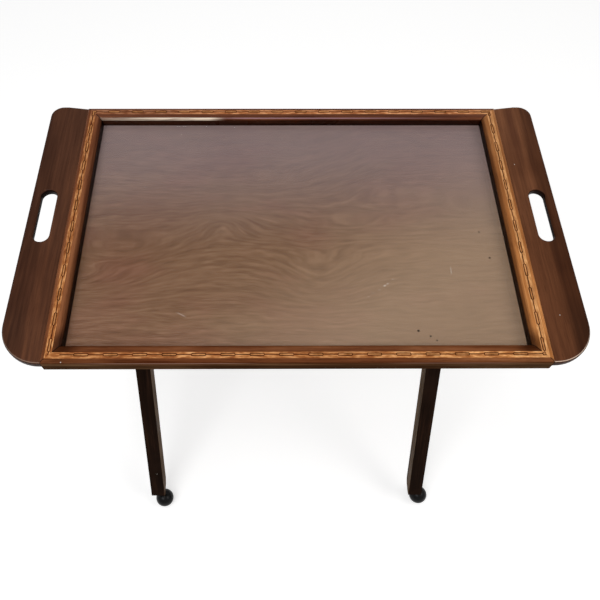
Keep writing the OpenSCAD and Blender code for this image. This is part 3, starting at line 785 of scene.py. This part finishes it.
def chain_strip(reach, start, inner, first):
    """One strip of the chain along X: dark outlines with their bars, or the light wood in the links."""
    low = BAND_Z - CHAIN_DEPTH
    bar_x, bar_y = (CHAIN_PERIOD - CHAIN_LINK + CHAIN_LAP) / 2, CHAIN_LINE / 2
    bm = bmesh.new()
    count = math.ceil(reach / CHAIN_PERIOD) + 1
    faces = []
    for k in range(-count, count + 1):
        middle_x = start + k * CHAIN_PERIOD
        if middle_x > first:
            link = flat_face(bm, link_outline(), low)
            ring = bmesh.ops.inset_individual(bm, faces=[link], thickness=CHAIN_LINE,
                                              use_even_offset=True)["faces"]
            corners = list({v for f in [*ring, link] for v in f.verts})
            bmesh.ops.translate(bm, vec=(middle_x, 0, 0), verts=corners)
            kept, dropped = ([link], ring) if inner else (ring, [link])
            bmesh.ops.delete(bm, geom=dropped, context="FACES_ONLY")
            faces.extend(kept)
        if not inner:
            bar = flat_face(bm, [(-bar_x, -bar_y), (bar_x, -bar_y), (bar_x, bar_y), (-bar_x, bar_y)], low)
            bmesh.ops.translate(bm, vec=(middle_x + CHAIN_PERIOD / 2, 0, 0), verts=bar.verts[:])
            faces.append(bar)
    loose = [v for v in bm.verts if not v.link_faces]
    bmesh.ops.delete(bm, geom=loose, context="VERTS")
    rise(bm, faces, CHAIN_HEIGHT)
    return bm


def cut_and_close(bm, at, normal):
    """Cuts away what lies on the normal's side and closes the cut."""
    geometry = bm.verts[:] + bm.edges[:] + bm.faces[:]
    bmesh.ops.bisect_plane(bm, geom=geometry, dist=1e-7, plane_co=at, plane_no=normal, clear_outer=True)
    bmesh.ops.holes_fill(bm, edges=[e for e in bm.edges if e.is_boundary], sides=0)


def make_stringing(side, turn, reach, off):
    """The chain let into one banding strip, cut off at the mitres."""
    start = CHAIN_STARTS[side] * (-1 if side in ("rear", "left") else 1)
    for part, inner, material in (("outline", False, string_wood), ("fill", True, link_wood)):
        bm = chain_strip(reach, start, inner, CHAIN_FIRST.get(side, -reach - CHAIN_PERIOD))
        bmesh.ops.translate(bm, vec=(0, -off + CHAIN_INSETS[side], 0), verts=bm.verts)
        for way in (-1, 1):
            cut_and_close(bm, (way * reach, -off, 0), Vector((way, 1, 0)).normalized())
        bmesh.ops.rotate(bm, matrix=Matrix.Rotation(turn, 3, "Z"), verts=bm.verts)
        piece = link_mesh(side + "_chain_" + part, bm, "tray")
        piece.data.materials.append(material)


string_wood = stringing_wood("stringing_wood", srgb(44, 12, 0), srgb(78, 28, 6))
link_wood = stringing_wood("link_wood", srgb(150, 94, 48), srgb(206, 146, 92))
make_stringing("front", 0, FRAME_X, FRAME_Y)
make_stringing("rear", math.pi, FRAME_X, FRAME_Y)
make_stringing("left", -math.pi / 2, FRAME_Y, FRAME_X)
make_stringing("right", math.pi / 2, FRAME_Y, FRAME_X)

# ---------------------------------------------------------------- flecks and scratches
bpy.context.view_layer.update()
WHITE_FLECK = paint_speck("white_fleck", srgb(226, 220, 212))
glass_tree = carrier_tree([glass])
placed = {}

# The scuff's marks: x and y from its middle in millimetres, and size
SCUFF = (
    (-20.5, -10.0, 1.0),
    (-12.5, -7.0, 0.8),
    (-2.5, -5.0, 0.9),
    (6.5, -1.5, 2.2),
    (11.5, 0.0, 1.6),
    (20.5, 4.0, 1.2),
)


def surface_frame(at, normal, heading):
    """A frame on the surface whose X axis lies along the heading."""
    x_axis = (heading - normal * heading.dot(normal)).normalized()
    y_axis = normal.cross(x_axis)
    return Matrix.Translation(at) @ Matrix((x_axis, y_axis, normal)).transposed().to_4x4()


def fleck(name, tree, body, size, stretch=1.0, heading=Vector((1, 0, 0)), spread=None):
    """A flat spot of paint or a scratch on a surface, placed by its image point."""
    at, normal = place_on(tree, *IMAGE_POINTS[name])
    bm = bmesh.new()
    for dx, dy, scale in spread or [(0, 0, 1.0)]:
        new = bmesh.ops.create_uvsphere(bm, u_segments=10, v_segments=6, radius=0.5)["verts"]
        bmesh.ops.scale(bm, vec=(size * stretch * scale, size * scale, FLECK_THICK), verts=new)
        bmesh.ops.translate(bm, vec=(dx, dy, 0), verts=new)
    bmesh.ops.transform(bm, matrix=surface_frame(at, normal, heading), verts=bm.verts)
    piece = link_mesh(name, bm, body, smooth=True)
    piece.data.materials.append(WHITE_FLECK)
    placed[name] = piece


rail_tree = carrier_tree([NODES[n] for n in RAILS])
board_tree = carrier_tree([NODES[n] for n in BOARDS])
leg_tree = carrier_tree([NODES["outer_left_leg"]])
fleck("glass_fleck", glass_tree, "tray", 1.3 * MM)
fleck("glass_fleck_left", glass_tree, "tray", 1.0 * MM)
fleck("glass_fleck_right", glass_tree, "tray", 0.7 * MM)
fleck("glass_scratch", glass_tree, "tray", 0.45 * MM, 30, Vector((1, -0.55, 0)))
fleck("glass_scuff", glass_tree, "tray", 0.7 * MM, 2.2, Vector((1, 0.35, 0)),
      [(x * MM, y * MM, k) for x, y, k in SCUFF])
fleck("glass_streak", glass_tree, "tray", 0.5 * MM, 26, Vector((0, 1, 0)))
fleck("rail_fleck", rail_tree, "tray", 1.5 * MM)
fleck("board_fleck_rear", board_tree, "tray", 1.3 * MM)
fleck("board_fleck_front", board_tree, "tray", 1.2 * MM)
fleck("leg_fleck", leg_tree, "outer_frame", 1.2 * MM)


# ---------------------------------------------------------------- floor, world and lights
def make_floor():
    """A pale floor that glows white to the camera and keeps the object's shadow."""
    bm = bmesh.new()
    bmesh.ops.create_grid(bm, x_segments=1, y_segments=1, size=FLOOR_REACH)
    mesh = bpy.data.meshes.new("floor")
    bm.to_mesh(mesh)
    bm.free()
    floor = bpy.data.objects.new("floor", mesh)
    bpy.context.scene.collection.objects.link(floor)
    s = Shader("pale_floor")
    path = s.tree.nodes.new("ShaderNodeLightPath")
    seen = s.math("MAXIMUM", path.outputs["Is Camera Ray"], path.outputs["Is Glossy Ray"])
    seen = s.math("MAXIMUM", seen, path.outputs["Is Transmission Ray"])
    diffuse = s.add("BsdfDiffuse", Color=(0.8, 0.8, 0.8))
    glow = s.add("Emission", Color=(1, 1, 1), Strength=s.times(seen, FLOOR_GLOW))
    both = s.add("AddShader", i0=diffuse.outputs[0], i1=glow.outputs[0])
    s.tree.links.new(both.outputs[0], s.out.inputs[0])
    mesh.materials.append(s.material)
    floor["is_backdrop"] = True


def make_world():
    """White where the camera, metal and glass see it, and dimmer as light on the object."""
    world = bpy.data.worlds.new("studio")
    world.use_nodes = True
    tree = world.node_tree
    tree.nodes.clear()
    path = tree.nodes.new("ShaderNodeLightPath")
    seen = tree.nodes.new("ShaderNodeMath")
    seen.operation = "MAXIMUM"
    clear = tree.nodes.new("ShaderNodeMath")
    clear.operation = "MAXIMUM"
    tree.links.new(path.outputs["Is Glossy Ray"], clear.inputs[0])
    tree.links.new(path.outputs["Is Transmission Ray"], clear.inputs[1])
    tree.links.new(path.outputs["Is Camera Ray"], seen.inputs[0])
    tree.links.new(clear.outputs[0], seen.inputs[1])
    mix = tree.nodes.new("ShaderNodeMix")
    mix.data_type = "FLOAT"
    mix.inputs[2].default_value = WORLD_LIGHT
    mix.inputs[3].default_value = 1.0
    tree.links.new(seen.outputs[0], mix.inputs[0])
    back = tree.nodes.new("ShaderNodeBackground")
    tree.links.new(mix.outputs[0], back.inputs["Strength"])
    out = tree.nodes.new("ShaderNodeOutputWorld")
    tree.links.new(back.outputs[0], out.inputs[0])
    bpy.context.scene.world = world


def area_light(name, at, look, size, power, colour=(1, 1, 1)):
    """A soft lamp at one place that faces another."""
    data = bpy.data.lights.new(name, "AREA")
    data.shape = "RECTANGLE"
    data.size, data.size_y = size
    data.energy = power
    data.color = colour
    lamp = bpy.data.objects.new(name, data)
    lamp.location = at
    lamp.rotation_euler = (Vector(look) - Vector(at)).to_track_quat("-Z", "Y").to_euler()
    bpy.context.scene.collection.objects.link(lamp)


make_floor()
make_world()
area_light("key", (-1.2, -1.6, 2.9), (0, 0, 0.6), (1.6, 1.2), 27)
area_light("fill", (2.2, -0.6, 2.4), (0, 0, 0.6), (1.4, 1.4), 19, (1.0, 0.97, 0.94))
area_light("overhead", (-0.35, -0.2, 2.8), (-0.3, -0.2, 0.7), (1.0, 0.3), 12)
bpy.context.scene.view_settings.view_transform = "Standard"


# ---------------------------------------------------------------- where things show in the image
def shown_points(piece):
    """Where each vertex of a finished piece shows."""
    depsgraph = bpy.context.evaluated_depsgraph_get()
    mesh = piece.evaluated_get(depsgraph).to_mesh()
    return [seen_at(piece.matrix_world @ v.co) for v in mesh.vertices]


def middle(points):
    """The middle of the box round image points."""
    xs, ys = [p[0] for p in points], [p[1] for p in points]
    return (min(xs) + max(xs)) / 2, (min(ys) + max(ys)) / 2


def measure_points():
    """Works out where the shown pieces, the placed marks and the front castors show; nothing is kept."""
    bpy.context.view_layer.update()
    outline = [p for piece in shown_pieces() for p in shown_points(piece)]
    for name, piece in placed.items():
        middle(shown_points(piece))
    for side, node in (("left", "left_handle_board"), ("right", "right_handle_board")):
        middle(shown_points(NODES["front_" + side + "_hood"]) +
                                       shown_points(NODES["front_" + side + "_wheel"]))


measure_points()
